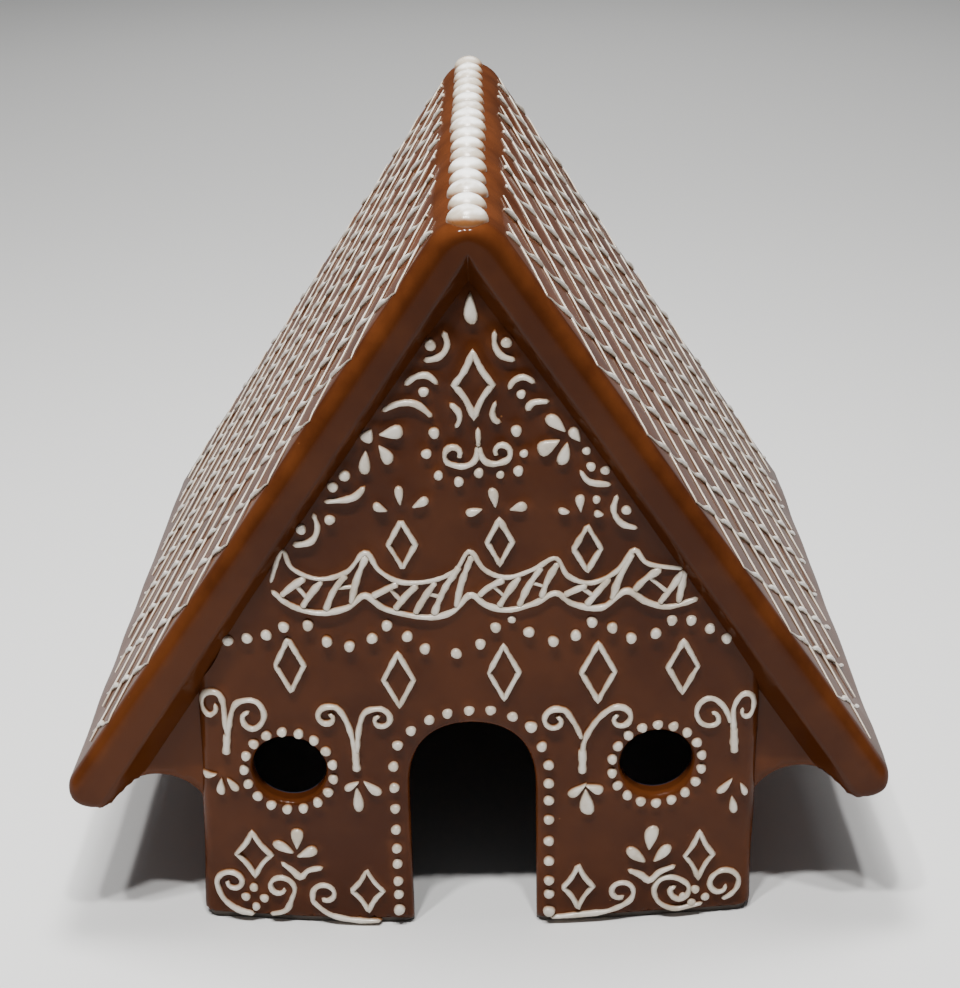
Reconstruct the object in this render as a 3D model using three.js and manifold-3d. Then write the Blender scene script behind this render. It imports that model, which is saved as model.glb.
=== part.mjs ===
// A glazed ceramic gingerbread house: one hollow casting, open underneath, with a steep roof that
// hangs past its low side walls, a round-topped doorway, two round windows and raised piped icing.
// Millimetres. X runs to the right of the door, Y from the front to the back and Z up.
// The origin is the centre of the footprint, on the surface that the house stands on.

import * as THREE from 'three';
import { mergeVertices } from 'three/addons/utils/BufferGeometryUtils.js';
import Module from 'manifold-3d';

const wasm = await Module();
wasm.setup();

// ---------- driving sizes ----------

const roofLength = 267;
const roofPitch = THREE.MathUtils.degToRad(55.6);
const eaveRadius = 6.8; // the round lower edge of each slope
const eaveCentre = { x: 134, z: 57.4 };
const ridgeRadius = 14;
const rimRound = 5.5; // rounding of the front and back edges of the slopes
const wallThickness = 6;

const innerPitch = THREE.MathUtils.degToRad(56.0);
const innerApex = 244.5; // top of the crisp inner edge of the rim
const gableOverlap = 8; // how far the gable runs up into the ridge
const bevelDepth = 7.7; // from that edge back to the gable
const bevelDrop = 10.1; // how far the edge falls on the way
const panelSetback = 10.5; // panels beside the walls, under the eaves

const wallCentre = -1.2; // the walls stand a little to the left under the roof
const wallHalfWidth = 97;
const wallCorner = 5;
const cornerCut = 0.3; // how far a corner's middle point is cut in, as a share of its radius
const wallSetback = 7.5; // the gable's sides behind the rim
const wallBow = 6; // how far its foot bows forward at the middle
const bowTop = 235; // height where the bow has died away
const footHeight = 2;
const footInset = 1.5;

const cove = { x: 111.3, radius: 18, crown: 58.5 };
const attic = { floor: 67, halfWidth: 119 };

const door = { x: -2, halfWidth: 21.7, spring: 56, top: 81.5, flat: 9, shoulder: 4 };
const windows = [
  { x: -64.6, z: 63, radius: 12.8, dots: 17 },
  { x: 60.9, z: 63.8, radius: 12.6, dots: 18 },
];

const bead = { count: 17, halfWidth: 6.2, halfLength: 9, height: 4.6, sink: 1.2, endGap: 9.5 };
const dot = { radius: 2.3, height: 1.7, sides: 5, topShare: 0.6, windowGap: 2.9 };
const doorRow = { gap: 3.4, pitch: 8.7, firstDot: 0.6, archSteps: 8, archEase: 0.8 };
const line = { halfWidth: 1.2, height: 1.4, sink: 1.2, slant: 1.2 };
const net = { pitch: 28.5, halfWidth: 1.6, height: 1.3, floor: 0.1, sink: 1 };
const netGap = { ridge: 21, eave: 7, rim: 7 }; // bare strips around the net

// Raised dots hang in swags between these peaks: x of each peak, then the height they share.
const swags = { peaks: [-86, -59, -29, 11, 40, 68, 89], top: 119.5, sag: 8.5, dots: 4 };

// Raised diamonds: x, z, half width, half height.
const diamonds = [
  [-61.5, 104.5, 5.2, 9.6], [-26, 99, 5.6, 10], [9, 101.5, 5.6, 9.8], [40.5, 100.5, 6, 10],
  [69, 101, 5.6, 9.8],
  [-23, 148.5, 4.8, 8.6], [8.5, 149, 4.6, 8.2], [36.5, 146, 5, 8.6], [0.5, 203.5, 6.4, 9.6],
  [-79.5, 28.5, 6.2, 8.6], [-39.5, 14, 6, 8.8], [33.5, 14, 5.6, 8.4], [76, 26, 5.6, 9.2],
];

const glaze = new THREE.MeshStandardMaterial({ color: 0x6b3f26, roughness: 0.25, metalness: 0 });

// ---------- worked-out sizes ----------

const frontY = -roofLength / 2;
const roofApex = eaveCentre.z + eaveCentre.x * Math.tan(roofPitch) + eaveRadius / Math.cos(roofPitch);
const ridgeCentre = roofApex - ridgeRadius / Math.cos(roofPitch);
const ridgeTop = ridgeCentre + ridgeRadius;
const slopeAngle = Math.PI / 2 - roofPitch; // the right slope's outward direction, from +X
const slopeLength = eaveCentre.x / Math.cos(roofPitch);

// ---------- solids ----------

// Closed triangles become a solid, with their faces turned outward first.
function toSolid(geometry) {
  const bare = geometry.clone();
  bare.deleteAttribute('normal');
  bare.deleteAttribute('uv');
  const merged = mergeVertices(bare, 1e-4);
  const position = merged.attributes.position;
  const triangles = Array.from(merged.index.array);
  const corner = (k) => new THREE.Vector3().fromBufferAttribute(position, triangles[k]);
  let volume = 0;
  for (let k = 0; k < triangles.length; k += 3) {
    volume += corner(k).dot(corner(k + 1).cross(corner(k + 2)));
  }
  if (volume < 0) {
    triangles.reverse();
  }
  return new wasm.Manifold(new wasm.Mesh({
    numProp: 3,
    vertProperties: new Float32Array(position.array),
    triVerts: new Uint32Array(triangles),
  }));
}

function toGeometry(solid) {
  const mesh = solid.getMesh();
  const geometry = new THREE.BufferGeometry();
  geometry.setAttribute('position', new THREE.BufferAttribute(new Float32Array(mesh.vertProperties), 3));
  geometry.setIndex(new THREE.BufferAttribute(new Uint32Array(mesh.triVerts), 1));
  geometry.computeVertexNormals();
  return geometry;
}

// Joins many solids in pairs, which keeps each join small.
function join(solids) {
  let level = solids;
  while (level.length > 1) {
    const next = [];
    for (let k = 0; k < level.length; k += 2) {
      next.push(k + 1 < level.length ? level[k].add(level[k + 1]) : level[k]);
    }
    level = next;
  }
  return level[0];
}

// Skins a list of convex rings of equal length and fans over both ends.
function loft(rings) {
  const size = rings[0].length;
  const last = (rings.length - 1) * size;
  const index = [];
  for (let start = 0; start < last; start += size) {
    for (let k = 0; k < size; k += 1) {
      const a = start + k;
      const b = start + ((k + 1) % size);
      index.push(a, b, b + size, a, b + size, a + size);
    }
  }
  for (let k = 1; k + 1 < size; k += 1) {
    index.push(0, k + 1, k, last, last + k, last + k + 1);
  }
  const geometry = new THREE.BufferGeometry().setFromPoints(rings.flat());
  geometry.setIndex(index);
  return toSolid(geometry);
}

// Extrudes an outline drawn in X and Z along Y, its end edges rounded where asked.
function alongY(shape, from, to, round = 0, curveSegments = 4) {
  const geometry = new THREE.ExtrudeGeometry(shape, {
    depth: to - from - 2 * round,
    curveSegments,
    bevelEnabled: round > 0,
    bevelThickness: round,
    bevelSize: round,
    bevelOffset: -round,
    bevelSegments: 2,
  });
  geometry.rotateX(Math.PI / 2);
  geometry.translate(0, to - round, 0);
  return toSolid(geometry);
}

// A triangle under one apex, as a ring at one depth.
function gableRing(apex, pitch, base, y) {
  const reach = (apex - base) / Math.tan(pitch);
  return [
    new THREE.Vector3(-reach, y, base),
    new THREE.Vector3(reach, y, base),
    new THREE.Vector3(0, y, apex),
  ];
}

// ---------- roof ----------

// The roof seen from the front: ridge, slopes and round eaves, closed straight across below.
function roofOutline() {
  const quarter = Math.PI / 2;
  const shape = new THREE.Shape();
  shape.absarc(eaveCentre.x, eaveCentre.z, eaveRadius, -quarter, slopeAngle, false);
  shape.absarc(0, ridgeCentre, ridgeRadius, slopeAngle, Math.PI - slopeAngle, false);
  shape.absarc(-eaveCentre.x, eaveCentre.z, eaveRadius, Math.PI - slopeAngle, 3 * quarter, false);
  shape.closePath();
  return shape;
}

// The round hollow along the underside of one eave.
function coveCut(side) {
  const geometry = new THREE.CylinderGeometry(cove.radius, cove.radius, roofLength + 2, 32);
  geometry.translate(side * cove.x, 0, cove.crown - cove.radius);
  return toSolid(geometry);
}

// The space inside the rim at the front: it tapers back over the bevel to the panels.
function recess() {
  const taper = bevelDrop / bevelDepth;
  return loft([
    gableRing(innerApex + taper, innerPitch, 0, frontY - 1),
    gableRing(innerApex - taper * panelSetback, innerPitch, 0, frontY + panelSetback),
  ]);
}

// One overlapping icing bead of the row along the ridge.
function ridgeBead(k) {
  const pitch = (roofLength - 2 * bead.endGap) / (bead.count - 1);
  const geometry = new THREE.SphereGeometry(1, 6, 5);
  geometry.rotateX(Math.PI / 2);
  geometry.scale(bead.halfWidth, bead.halfLength, bead.height);
  geometry.translate(0, frontY + bead.endGap + pitch * k, ridgeTop - bead.sink);
  return toSolid(geometry);
}

// The raised net of one slope, laid flat: X back from the front, Y up the slope from the ridge's
// sharp corner, Z out of the slope. Each cell is a diamond with four sloping sides and a floor.
function flatNet() {
  const half = net.pitch / 2;
  const shrink = 1 - (Math.SQRT2 * net.halfWidth) / half;
  const columns = Math.ceil(roofLength / half);
  const rows = Math.ceil(slopeLength / half);
  const points = [];
  const index = [];
  const known = new Map();
  const place = (a, b, height) => points.push(new THREE.Vector3(half * a, -half * b, height)) - 1;
  const shared = (a, b, height) => {
    const key = [a, b, height].join();
    if (!known.has(key)) {
      known.set(key, place(a, b, height));
    }
    return known.get(key);
  };
  const inside = (a, b) => a >= 0 && a <= columns && b >= 0 && b <= rows;
  const turns = [[1, 0], [0, -1], [-1, 0], [0, 1]];
  for (let a = 0; a <= columns; a += 1) {
    for (let b = (a + 1) % 2; b <= rows; b += 2) {
      const crest = turns.map(([da, db]) => shared(a + da, b + db, net.height));
      const base = turns.map(([da, db]) => shared(a + da, b + db, -net.sink));
      const floor = turns.map(([da, db]) => place(a + da * shrink, b + db * shrink, net.floor));
      index.push(floor[0], floor[1], floor[2], floor[0], floor[2], floor[3]);
      index.push(base[0], base[2], base[1], base[0], base[3], base[2]);
      for (let k = 0; k < 4; k += 1) {
        const next = (k + 1) % 4;
        index.push(crest[k], crest[next], floor[next], crest[k], floor[next], floor[k]);
        const across = [a + turns[k][0] + turns[next][0], b + turns[k][1] + turns[next][1]];
        if (!inside(...across)) {
          index.push(base[k], base[next], crest[next], base[k], crest[next], crest[k]);
        }
      }
    }
  }
  const geometry = new THREE.BufferGeometry().setFromPoints(points);
  geometry.setIndex(index);
  const length = roofLength - 2 * netGap.rim;
  const height = slopeLength - netGap.ridge - netGap.eave;
  const bounds = new THREE.BoxGeometry(length, height, 10);
  bounds.translate(roofLength / 2, -netGap.ridge - height / 2, 0);
  return toSolid(geometry).intersect(toSolid(bounds));
}

// The net lifted onto the right slope.
function slopeNet() {
  const matrix = new THREE.Matrix4().makeBasis(
    new THREE.Vector3(0, 1, 0),
    new THREE.Vector3(-Math.cos(roofPitch), 0, Math.sin(roofPitch)),
    new THREE.Vector3(Math.sin(roofPitch), 0, Math.cos(roofPitch)),
  );
  matrix.setPosition(0, frontY, roofApex);
  return flatNet().transform(matrix.toArray());
}

// ---------- walls ----------

// How far the front wall's face lies behind the rim at one place.
function faceSetback(x, z) {
  const across = 1 - Math.min(1, ((x - wallCentre) / wallHalfWidth) ** 2);
  const up = Math.sqrt(Math.max(0, 1 - z / bowTop));
  return wallSetback - wallBow * across * up;
}

// The walls seen from above at one height: bowed ends and round corners.
function wallRing(z, inset) {
  const steps = 8;
  const half = wallHalfWidth - inset;
  const straight = half - wallCorner;
  const cut = cornerCut * wallCorner;
  const edge = -frontY - faceSetback(wallCentre + straight, z) - inset;
  const ring = [];
  for (const side of [-1, 1]) {
    ring.push(new THREE.Vector3(wallCentre + side * half, side * (edge - wallCorner), z));
    ring.push(new THREE.Vector3(wallCentre + side * (half - cut), side * (edge - cut), z));
    for (let k = 0; k <= steps; k += 1) {
      const x = wallCentre + side * straight * (1 - (2 * k) / steps);
      ring.push(new THREE.Vector3(x, side * (-frontY - faceSetback(x, z) - inset), z));
    }
    ring.push(new THREE.Vector3(wallCentre - side * (half - cut), side * (edge - cut), z));
    ring.push(new THREE.Vector3(wallCentre - side * half, side * (edge - wallCorner), z));
  }
  return ring;
}

function walls() {
  const levels = [footHeight, 80, 150, 200, bowTop];
  const rings = levels.map((z) => wallRing(z, 0));
  return loft([wallRing(0, footInset), wallRing(footHeight, footInset), ...rings]);
}

// The hollow inside the walls, running up into the attic and out under the eaves.
function hollow() {
  const levels = [-1, 60, 110, 160, 200, bowTop];
  const hall = loft(levels.map((z) => wallRing(z, wallThickness)));
  const depth = -frontY - panelSetback - wallThickness;
  const atticBox = new THREE.BoxGeometry(2 * attic.halfWidth, 2 * depth, bowTop - attic.floor);
  atticBox.translate(0, 0, (bowTop + attic.floor) / 2);
  const underRoof = roofApex - wallThickness / Math.cos(roofPitch);
  const space = loft([
    gableRing(underRoof, roofPitch, -1, frontY),
    gableRing(underRoof, roofPitch, -1, -frontY),
  ]);
  return hall.add(toSolid(atticBox)).intersect(space);
}

// ---------- openings ----------

function doorway() {
  const { x, halfWidth, spring, top, flat, shoulder } = door;
  const shape = new THREE.Shape();
  shape.moveTo(x - halfWidth, -1);
  shape.lineTo(x + halfWidth, -1);
  shape.lineTo(x + halfWidth, spring);
  shape.bezierCurveTo(x + halfWidth, top - shoulder, x + flat, top, x, top);
  shape.bezierCurveTo(x - flat, top, x - halfWidth, top - shoulder, x - halfWidth, spring);
  shape.closePath();
  return alongY(shape, frontY - 1, frontY + 30, 0, 6);
}

function windowHole({ x, z, radius }) {
  const shape = new THREE.Shape();
  shape.absarc(x, z, radius, 0, 2 * Math.PI, false);
  return alongY(shape, frontY - 1, frontY + 30, 0, 10);
}

// ---------- raised icing on the front and back ----------

// A raised dot on the front face: a low dome with a few sides.
function faceDot(x, z) {
  const face = frontY + faceSetback(x, z);
  const ring = (radius, y) => Array.from({ length: dot.sides }, (_, k) => {
    const turn = (2 * Math.PI * k) / dot.sides;
    return new THREE.Vector3(x + radius * Math.cos(turn), y, z + radius * Math.sin(turn));
  });
  return loft([ring(dot.radius, face + line.sink), ring(dot.radius * dot.topShare, face - dot.height)]);
}

function windowDots({ x, z, radius, dots }) {
  return Array.from({ length: dots }, (_, k) => {
    const turn = (2 * Math.PI * (k + 0.5)) / dots;
    const reach = radius + dot.windowGap;
    return faceDot(x + reach * Math.cos(turn), z + reach * Math.sin(turn));
  });
}

// Dots up both sides of the doorway and over its arch.
function doorDots() {
  const reach = door.halfWidth + doorRow.gap;
  const arch = door.top + doorRow.gap - door.spring;
  const rows = door.spring / doorRow.pitch;
  const dots = [];
  for (let k = doorRow.firstDot; k < rows; k += 1) {
    dots.push(faceDot(door.x - reach, k * doorRow.pitch), faceDot(door.x + reach, k * doorRow.pitch));
  }
  for (let turn = 0; turn <= doorRow.archSteps; turn += 1) {
    const angle = (Math.PI * turn) / doorRow.archSteps;
    const rise = arch * Math.sin(angle) ** doorRow.archEase;
    dots.push(faceDot(door.x + reach * Math.cos(angle), door.spring + rise));
  }
  return dots;
}

function swagDots() {
  const dots = [];
  for (let k = 0; k + 1 < swags.peaks.length; k += 1) {
    const span = swags.peaks[k + 1] - swags.peaks[k];
    for (let step = 0; step < swags.dots; step += 1) {
      const along = (step + 0.5) / swags.dots;
      const drop = swags.sag * Math.sin(Math.PI * along);
      dots.push(faceDot(swags.peaks[k] + span * along, swags.top - drop));
    }
  }
  return dots.slice(1, -1);
}

function rhombus(path, x, z, halfWidth, halfHeight) {
  path.moveTo(x + halfWidth, z);
  path.lineTo(x, z + halfHeight);
  path.lineTo(x - halfWidth, z);
  path.lineTo(x, z - halfHeight);
  path.closePath();
  return path;
}

// A raised diamond drawn with one piped line.
function diamond([x, z, halfWidth, halfHeight]) {
  const shape = rhombus(new THREE.Shape(), x, z, halfWidth, halfHeight);
  const inner = 1 - (2 * line.halfWidth * line.slant) / halfWidth;
  shape.holes.push(rhombus(new THREE.Path(), x, z, halfWidth * inner, halfHeight * inner));
  const face = frontY + faceSetback(x, z);
  return alongY(shape, face - line.height, face + line.sink);
}

// ---------- assembly ----------

const backTurn = (solid) => solid.mirror([0, 1, 0]);

const faceIcing = join([...swagDots(), ...diamonds.map(diamond)]);
const frontOnlyIcing = join([...windows.flatMap(windowDots), ...doorDots()]);
const beads = join(Array.from({ length: bead.count }, (_, k) => ridgeBead(k)));

const rightNet = slopeNet();

const frontRecess = recess();
const openings = join([hollow(), doorway(), ...windows.map(windowHole)]);
const underRidge = loft([
  gableRing(innerApex + gableOverlap, innerPitch, -1, frontY),
  gableRing(innerApex + gableOverlap, innerPitch, -1, -frontY),
]);
const roof = alongY(roofOutline(), frontY, -frontY, rimRound)
  .subtract(coveCut(1))
  .subtract(coveCut(-1))
  .subtract(frontRecess)
  .subtract(backTurn(frontRecess));
const body = roof
  .add(walls().intersect(underRidge))
  .add(rightNet)
  .add(rightNet.mirror([1, 0, 0]))
  .add(beads)
  .add(faceIcing)
  .add(backTurn(faceIcing))
  .add(frontOnlyIcing)
  .subtract(openings);

const house = new THREE.Group();
const shell = new THREE.Mesh(toGeometry(body), glaze);
shell.name = 'house_shell';
house.add(shell);

export default house;
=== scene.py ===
import math

import bmesh
import bpy
import numpy as np
from mathutils import Matrix, Vector, geometry
from mathutils.kdtree import KDTree


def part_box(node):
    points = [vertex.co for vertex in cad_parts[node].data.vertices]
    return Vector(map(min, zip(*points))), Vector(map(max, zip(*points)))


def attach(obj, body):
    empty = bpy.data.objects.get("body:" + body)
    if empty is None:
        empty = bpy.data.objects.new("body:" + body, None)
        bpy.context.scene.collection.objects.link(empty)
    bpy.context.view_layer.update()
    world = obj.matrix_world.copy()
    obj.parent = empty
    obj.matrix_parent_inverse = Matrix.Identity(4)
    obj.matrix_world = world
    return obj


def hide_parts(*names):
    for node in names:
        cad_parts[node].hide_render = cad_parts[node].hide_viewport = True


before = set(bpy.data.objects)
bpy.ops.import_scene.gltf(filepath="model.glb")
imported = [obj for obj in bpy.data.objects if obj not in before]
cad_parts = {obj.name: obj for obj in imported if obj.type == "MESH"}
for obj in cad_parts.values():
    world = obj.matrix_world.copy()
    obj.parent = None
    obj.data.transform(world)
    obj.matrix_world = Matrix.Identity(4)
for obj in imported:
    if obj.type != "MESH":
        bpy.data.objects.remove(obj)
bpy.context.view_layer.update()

mm = 0.001  # sizes below are in millimetres, and meshes are made in metres
shellNode = "house_shell"
nodeLow, nodeHigh = (np.array(corner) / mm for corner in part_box(shellNode))

# X runs to the right of the door, Y from the front to the back and Z up
eaveRadius = 6.8  # half the slab's thickness down at the eaves
house = {
    "front": nodeLow[1],
    "length": nodeHigh[1] - nodeLow[1],
    "eaveX": nodeHigh[0] - eaveRadius,
    "eaveZ": 57.4,
    "pitch": math.radians(55.6),
    "innerPitch": math.radians(56),
    "innerApex": 244.5,
    "ridgeRadius": 14,
}
slopeOut = np.array([math.sin(house["pitch"]), math.cos(house["pitch"])])  # x and z of the right slope
slopeDown = np.array([math.cos(house["pitch"]), -math.sin(house["pitch"])])
eaveCentre = np.array([house["eaveX"], house["eaveZ"]])
outerApex = house["eaveZ"] + house["eaveX"] * math.tan(house["pitch"]) + eaveRadius / slopeOut[1]
ridgeCentre = outerApex - house["ridgeRadius"] / slopeOut[1]
ridgeTop = ridgeCentre + house["ridgeRadius"]


def waves(points, size, seed, count=5):
    # smooth, uneven hand-made waviness between about -1 and 1
    rng = np.random.default_rng(seed)
    total = np.zeros(len(points))
    for _ in range(count):
        direction = rng.normal(size=3)
        direction *= 2 * math.pi / (size * rng.uniform(0.7, 1.5) * np.linalg.norm(direction))
        total += np.sin(points @ direction + rng.uniform(0, 2 * math.pi))
    return total / math.sqrt(count)


def smooth(value, low, high):
    t = np.clip((np.asarray(value, float) - low) / (high - low), 0, 1)
    return t * t * (3 - 2 * t)


def quarterRound(radius, reach):
    # how far a rounded edge has fallen back, this far past where it starts to turn
    return radius - np.sqrt(np.maximum(radius ** 2 - reach ** 2, 0))


def band(upper, lower, flip=False):
    # a closed ring of quads between two rows of point numbers
    quads = zip(upper, lower, np.roll(lower, -1), np.roll(upper, -1))
    return [[a, d, c, b] if flip else [a, b, c, d] for a, b, c, d in quads]


def addObject(name, made):
    thing = bpy.data.objects.new(name, made)
    bpy.context.scene.collection.objects.link(thing)
    return thing


def addMesh(name, points, edges=(), faces=()):
    mesh = bpy.data.meshes.new(name)
    mesh.from_pydata((np.asarray(points, float) * mm).tolist(), edges, faces)
    return addObject(name, mesh)


def setAttribute(piece, label, values):
    layer = piece.data.attributes.get(label) or piece.data.attributes.new(label, "FLOAT", "POINT")
    layer.data.foreach_set("value", np.asarray(values, np.float32))


def addPiece(name, points, faces, materials, faceMaterials=None, attributes=None):
    piece = addMesh(name, points, faces=[list(map(int, face)) for face in faces])
    for material in materials:
        piece.data.materials.append(material)
    if faceMaterials is not None:
        piece.data.polygons.foreach_set("material_index", np.asarray(faceMaterials, np.int32))
    for label, values in (attributes or {}).items():
        setAttribute(piece, label, values)
    return closeUp(piece)


def closeUp(piece):
    # joins doubled points, drops what collapsed and turns the faces outward
    body = bmesh.new()
    body.from_mesh(piece.data)
    bmesh.ops.remove_doubles(body, verts=body.verts, dist=0.02 * mm)
    bmesh.ops.dissolve_degenerate(body, edges=body.edges, dist=0.001 * mm)
    bmesh.ops.recalc_face_normals(body, faces=body.faces)
    if body.calc_volume(signed=True) < 0:
        bmesh.ops.reverse_faces(body, faces=body.faces)
    for face in body.faces:
        face.smooth = True
    body.to_mesh(piece.data)
    body.free()
    return piece


def meshPoints(piece):
    flat = np.zeros(3 * len(piece.data.vertices))
    piece.data.vertices.foreach_get("co", flat)
    return flat.reshape(-1, 3) / mm


def gaps(points, trail):
    # how far each point lies outside the nearest piped line or dot
    tree = KDTree(len(trail))
    for k, spot in enumerate(trail):
        tree.insert(spot[:3], k)
    tree.balance()
    found = np.empty(len(points))
    for k, point in enumerate(points.tolist()):
        _, nearest, distance = tree.find(point)
        found[k] = distance - trail[nearest][3]
    return found


def curveThrough(points, spacing=1.1):
    # an even, rounded line through a few given points
    points = np.asarray(points, float)
    if len(points) == 2:
        points = np.array([points[0], points.mean(0), points[1]])
    ends = np.vstack([2 * points[0] - points[1], points, 2 * points[-1] - points[-2]])
    fine = []
    for before, start, end, after in zip(ends, ends[1:], ends[2:], ends[3:]):
        for t in np.linspace(0, 1, 12, endpoint=False):
            square = 2 * before - 5 * start + 4 * end - after
            cube = 3 * start - before - 3 * end + after
            fine.append(0.5 * (2 * start + (end - before) * t + square * t ** 2 + cube * t ** 3))
    fine = np.array(fine + [points[-1]])
    along = np.concatenate([[0], np.cumsum(np.linalg.norm(np.diff(fine, axis=0), axis=1))])
    steps = max(3, int(along[-1] / spacing) + 1)
    marks = np.linspace(0, along[-1], steps)
    return np.stack([np.interp(marks, along, fine[:, k]) for k in range(points.shape[1])], 1)


class Wire:
    # one socket that + - * and < work on
    def __init__(self, desk, socket):
        self.desk = desk
        self.socket = socket

    def join(self, operation, first, second):
        return self.desk.node("ShaderNodeMath", {"operation": operation}, {0: first, 1: second})

    def __add__(self, other):
        return self.join("ADD", self, other)

    def __sub__(self, other):
        return self.join("SUBTRACT", self, other)

    def __rsub__(self, other):
        return self.join("SUBTRACT", other, self)

    def __mul__(self, other):
        return self.join("MULTIPLY", self, other)

    def __lt__(self, other):
        return self.join("LESS_THAN", self, other)

    __radd__ = __add__
    __rmul__ = __mul__


class Desk:
    # where a node tree is written
    def __init__(self, tree):
        self.tree = tree

    def node(self, kind, settings=None, inputs=None, output=0):
        made = self.tree.nodes.new(kind)
        for label, value in (settings or {}).items():
            setattr(made, label, value)
        for label, value in (inputs or {}).items():
            if isinstance(value, Wire):
                self.tree.links.new(value.socket, made.inputs[label])
            else:
                made.inputs[label].default_value = value
        return Wire(self, made.outputs[output])

    def place(self, shift):
        # the object's own coordinates, moved so that no two patterns line up
        own = self.node("ShaderNodeTexCoord", output="Object")
        return self.node("ShaderNodeVectorMath", {"operation": "ADD"}, {0: own, 1: shift})

    def noise(self, size, detail=2.0, roughness=0.5, seed=0.0):
        # an even field around 0.5 whose patches are about this many millimetres across
        moved = self.place((seed, 0.37 * seed, -0.61 * seed))
        return self.node("ShaderNodeTexNoise", {}, {
            "Vector": moved, "Scale": 0.5 / (size * mm), "Detail": detail, "Roughness": roughness})

    def spots(self, spacing, radius, share, seed=0.0):
        # small round spots, on about this share of the cells
        moved = self.place((seed, -seed, 0.7 * seed))
        cells = self.node("ShaderNodeTexVoronoi", {}, {"Vector": moved, "Scale": 1 / (spacing * mm)}, "Color")
        near = Wire(self, cells.socket.node.outputs["Distance"])
        chosen = self.node("ShaderNodeSeparateColor", {}, {"Color": cells}) < share
        return self.ramp(near, radius / spacing, 0.3 * radius / spacing) * chosen

    def ramp(self, value, low, high, start=0.0, end=1.0):
        return self.node("ShaderNodeMapRange", {"interpolation_type": "SMOOTHSTEP"}, {
            "Value": value, "From Min": low, "From Max": high, "To Min": start, "To Max": end})

    def attribute(self, label):
        return self.node("ShaderNodeAttribute", {"attribute_name": label}, output="Fac")

    def mix(self, share, first, second):
        colours = {6: first if isinstance(first, Wire) else (*first, 1),
                   7: second if isinstance(second, Wire) else (*second, 1)}
        return self.node("ShaderNodeMix", {"data_type": "RGBA"}, {0: share, **colours}, 2)

    def bump(self, height, strength, distance):
        return self.node("ShaderNodeBump", {}, {
            "Height": height, "Strength": strength, "Distance": distance * mm})


def newMaterial(name):
    material = bpy.data.materials.new(name)
    material.use_nodes = True
    shader = material.node_tree.nodes["Principled BSDF"]
    return material, Desk(material.node_tree), shader


def plug(desk, shader, **inputs):
    for label, value in inputs.items():
        socket = shader.inputs[label.replace("_", " ")]
        if isinstance(value, Wire):
            desk.tree.links.new(value.socket, socket)
        else:
            socket.default_value = value


brown = {
    "milk": (0.066, 0.0185, 0.0050),
    "dark": (0.043, 0.0110, 0.0030),
    "caramel": (0.094, 0.0262, 0.0070),
    "speck": (0.30, 0.12, 0.04),
    "pit": (0.02, 0.008, 0.004),
    "roughness": 0.15,
    "coat": 0.24,
    "coatRoughness": 0.09,
}


def makeBrownGlaze():
    # milk chocolate glaze that breaks to caramel where it runs thin
    material, desk, shader = newMaterial("brownGlaze")
    thin = desk.attribute("thin")
    broad = desk.noise(38, 2)
    cloudy = desk.noise(9, 3, 0.55, 4.0)
    fine = desk.noise(1.6, 2, 0.6, 9.0)
    depth = desk.ramp(broad * 0.6 + cloudy * 0.4, 0.36, 0.66)
    base = desk.mix(depth, brown["dark"], brown["milk"])
    edge = desk.ramp(thin + (cloudy - 0.5) * 1.1 + (fine - 0.5) * 0.3, 0.2, 1.1)
    base = desk.mix(edge, base, brown["caramel"])
    pale = desk.spots(9, 0.5, 0.16)
    base = desk.mix(pale * 0.55, base, brown["speck"])
    pits = desk.spots(6, 0.35, 0.1, 3.0)
    base = desk.mix(pits * 0.7, base, brown["pit"])
    rough = desk.ramp(cloudy + fine * 0.4, 0.4, 1.0, brown["roughness"], brown["roughness"] + 0.16)
    height = broad + cloudy * 0.3 + fine * 0.02 - pits * 0.12
    normal = desk.bump(height, 0.3, 0.7)
    plug(desk, shader, Base_Color=base, Roughness=rough, Normal=normal, Specular_IOR_Level=0.0,
         Coat_Weight=brown["coat"], Coat_Roughness=brown["coatRoughness"])
    return material


icing = {
    # the gables' white is set darker than the beads' white, as painted shade
    "white": (0.61, 0.56, 0.485),
    "cream": (0.47, 0.40, 0.31),
    "amber": (0.20, 0.075, 0.020),
    "stain": (0.45, 0.24, 0.09),
    "roughness": 0.25,
}


def makeIcingGlaze(name, low, high, white=icing["white"]):
    # off-white glaze over raised lines, stained amber down at its edges
    material, desk, shader = newMaterial(name)
    rise = desk.attribute("rise")
    cloudy = desk.noise(5, 3, 0.6, 2.0)
    fine = desk.noise(1.2, 2, 0.6, 5.0)
    lift = rise + (cloudy - 0.5) * 0.45 + (fine - 0.5) * 0.15
    tone = desk.mix(desk.ramp(cloudy, 0.3, 0.6), icing["cream"], white)
    tone = desk.mix(desk.ramp(lift, high, high + 0.35), icing["cream"], tone)
    base = desk.mix(desk.ramp(lift, low, high), icing["amber"], tone)
    stain = desk.spots(16, 1.1, 0.2, 7.0)
    base = desk.mix(stain * 0.5, base, icing["stain"])
    rough = desk.ramp(cloudy, 0.3, 0.7, icing["roughness"], icing["roughness"] + 0.15)
    normal = desk.bump(cloudy + fine * 0.15, 0.4, 0.3)
    plug(desk, shader, Base_Color=base, Roughness=rough, Normal=normal, Coat_Weight=0.25, Coat_Roughness=0.1)
    return material


# painted shade: the dark navy tones that stand in for the unlit inside
navyShade = {"deep": (0.006, 0.010, 0.020), "pale": (0.012, 0.022, 0.042)}
# the foot's bare clay, painted darker with the shade under the wall's edge
footTones = {"deep": (0.018, 0.015, 0.013), "pale": (0.075, 0.058, 0.046)}


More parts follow.
